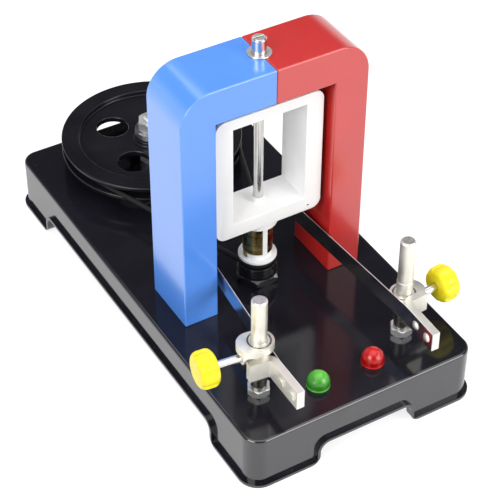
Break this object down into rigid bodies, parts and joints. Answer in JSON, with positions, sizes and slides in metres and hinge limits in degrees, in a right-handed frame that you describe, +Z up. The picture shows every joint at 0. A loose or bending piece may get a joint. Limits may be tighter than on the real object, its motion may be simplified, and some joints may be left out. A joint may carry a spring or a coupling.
{
  "type": "hand-cranked generator model",
  "caption": "Classroom generator model: a crank wheel and round belt spin a coil between the legs of an arched magnet, with split-ring commutator, swinging brushes, terminal posts and lamps.",
  "frame": {"origin": "middle of the base at table level", "axes": "+Z up, +Y along the base from the lamps to the crank wheel, +X to the red pole"},
  "size_m": [0.1391, 0.2577, 0.168],
  "materials": {
    "base_black": "glossy formed sheet",
    "cover_blue": "satin moulding",
    "cover_red": "satin moulding",
    "ferrite": "sintered",
    "white_plastic": "satin moulding",
    "steel": "zinc plated",
    "nickel": "bright plated",
    "brass": "turned",
    "copper": "enamelled wire",
    "black_plastic": "satin moulding",
    "rubber": "round cord",
    "knob_yellow": "moulded",
    "lamp_green": "diffused resin",
    "lamp_red": "diffused resin"
  },
  "bodies": {
    "base": {"base_shell": "base_black", "magnet_cover_blue": "cover_blue", "magnet_cover_red": "cover_red", "pole_magnet_blue": "ferrite", "pole_magnet_red": "ferrite", "leg_plug_blue": "white_plastic", "leg_plug_red": "white_plastic", "leg_screws": "steel", "pivot_bush": "steel", "pivot_screw": "steel", "lower_bearing": "brass", "bearing_nut": "black_plastic", "wheel_axle": "steel", "axle_nut": "steel", "wheel_washers": "steel", "wheel_nut": "steel", "drive_belt": "rubber", "terminal_post_left": "nickel", "terminal_post_right": "nickel", "post_nuts": "nickel", "post_under_nuts": "steel", "lamp_green": "lamp_green", "lamp_red": "lamp_red", "lamp_leads": "steel"},
    "rotor": {"rotor_shaft": "steel", "rotor_pulley": "black_plastic", "commutator_core": "white_plastic", "commutator_segment_left": "brass", "commutator_segment_right": "brass", "coil_former": "white_plastic", "coil_core": "copper", "coil_winding": "copper"},
    "wheel": {"drive_wheel": "black_plastic", "crank_spindle": "steel", "crank_nut": "steel"},
    "knob": {"crank_knob": "black_plastic"},
    "brush_left": {"brush_bracket_left": "nickel", "brush_strip_left": "steel", "brush_rivets_left": "nickel"},
    "brush_right": {"brush_bracket_right": "nickel", "brush_strip_right": "steel", "brush_rivets_right": "nickel"},
    "clamp_left": {"clamp_screw_left": "steel", "clamp_knob_left": "knob_yellow"},
    "clamp_right": {"clamp_screw_right": "steel", "clamp_knob_right": "knob_yellow"}
  },
  "joints": [
    {"name": "wheel_spin", "type": "hinge", "parent": "base", "child": "wheel", "pos_m": [0, 0.085, 0.0402], "axis": [0, 0, 1], "continuous": true},
    {"name": "rotor_spin", "type": "hinge", "parent": "base", "child": "rotor", "pos_m": [0, -0.0242, 0.08], "axis": [0, 0, 1], "continuous": true},
    {"name": "knob_spin", "type": "hinge", "parent": "wheel", "child": "knob", "pos_m": [-0.00402, 0.05225, 0.06], "axis": [0, 0, 1], "continuous": true},
    {"name": "brush_swing_left", "type": "hinge", "parent": "base", "child": "brush_left", "pos_m": [-0.0406, -0.0935, 0.054], "axis": [0, 0, -1], "range_deg": [-1.2, 14.6]},
    {"name": "brush_swing_right", "type": "hinge", "parent": "base", "child": "brush_right", "pos_m": [0.0382, -0.0935, 0.054], "axis": [0, 0, 1], "range_deg": [-1.4, 15.6]},
    {"name": "clamp_turn_left", "type": "hinge", "parent": "brush_left", "child": "clamp_left", "pos_m": [-0.0406, -0.0935, 0.05325], "axis": [-0.9945, 0.1045, 0], "range_deg": [0, 360]},
    {"name": "clamp_turn_right", "type": "hinge", "parent": "brush_right", "child": "clamp_right", "pos_m": [0.0382, -0.0935, 0.04695], "axis": [0.9982, 0.0593, 0], "range_deg": [0, 360]}
  ],
  "couplings": [
    {"joint": "rotor_spin", "follows": "wheel_spin", "ratio": 5.8667}
  ]
}
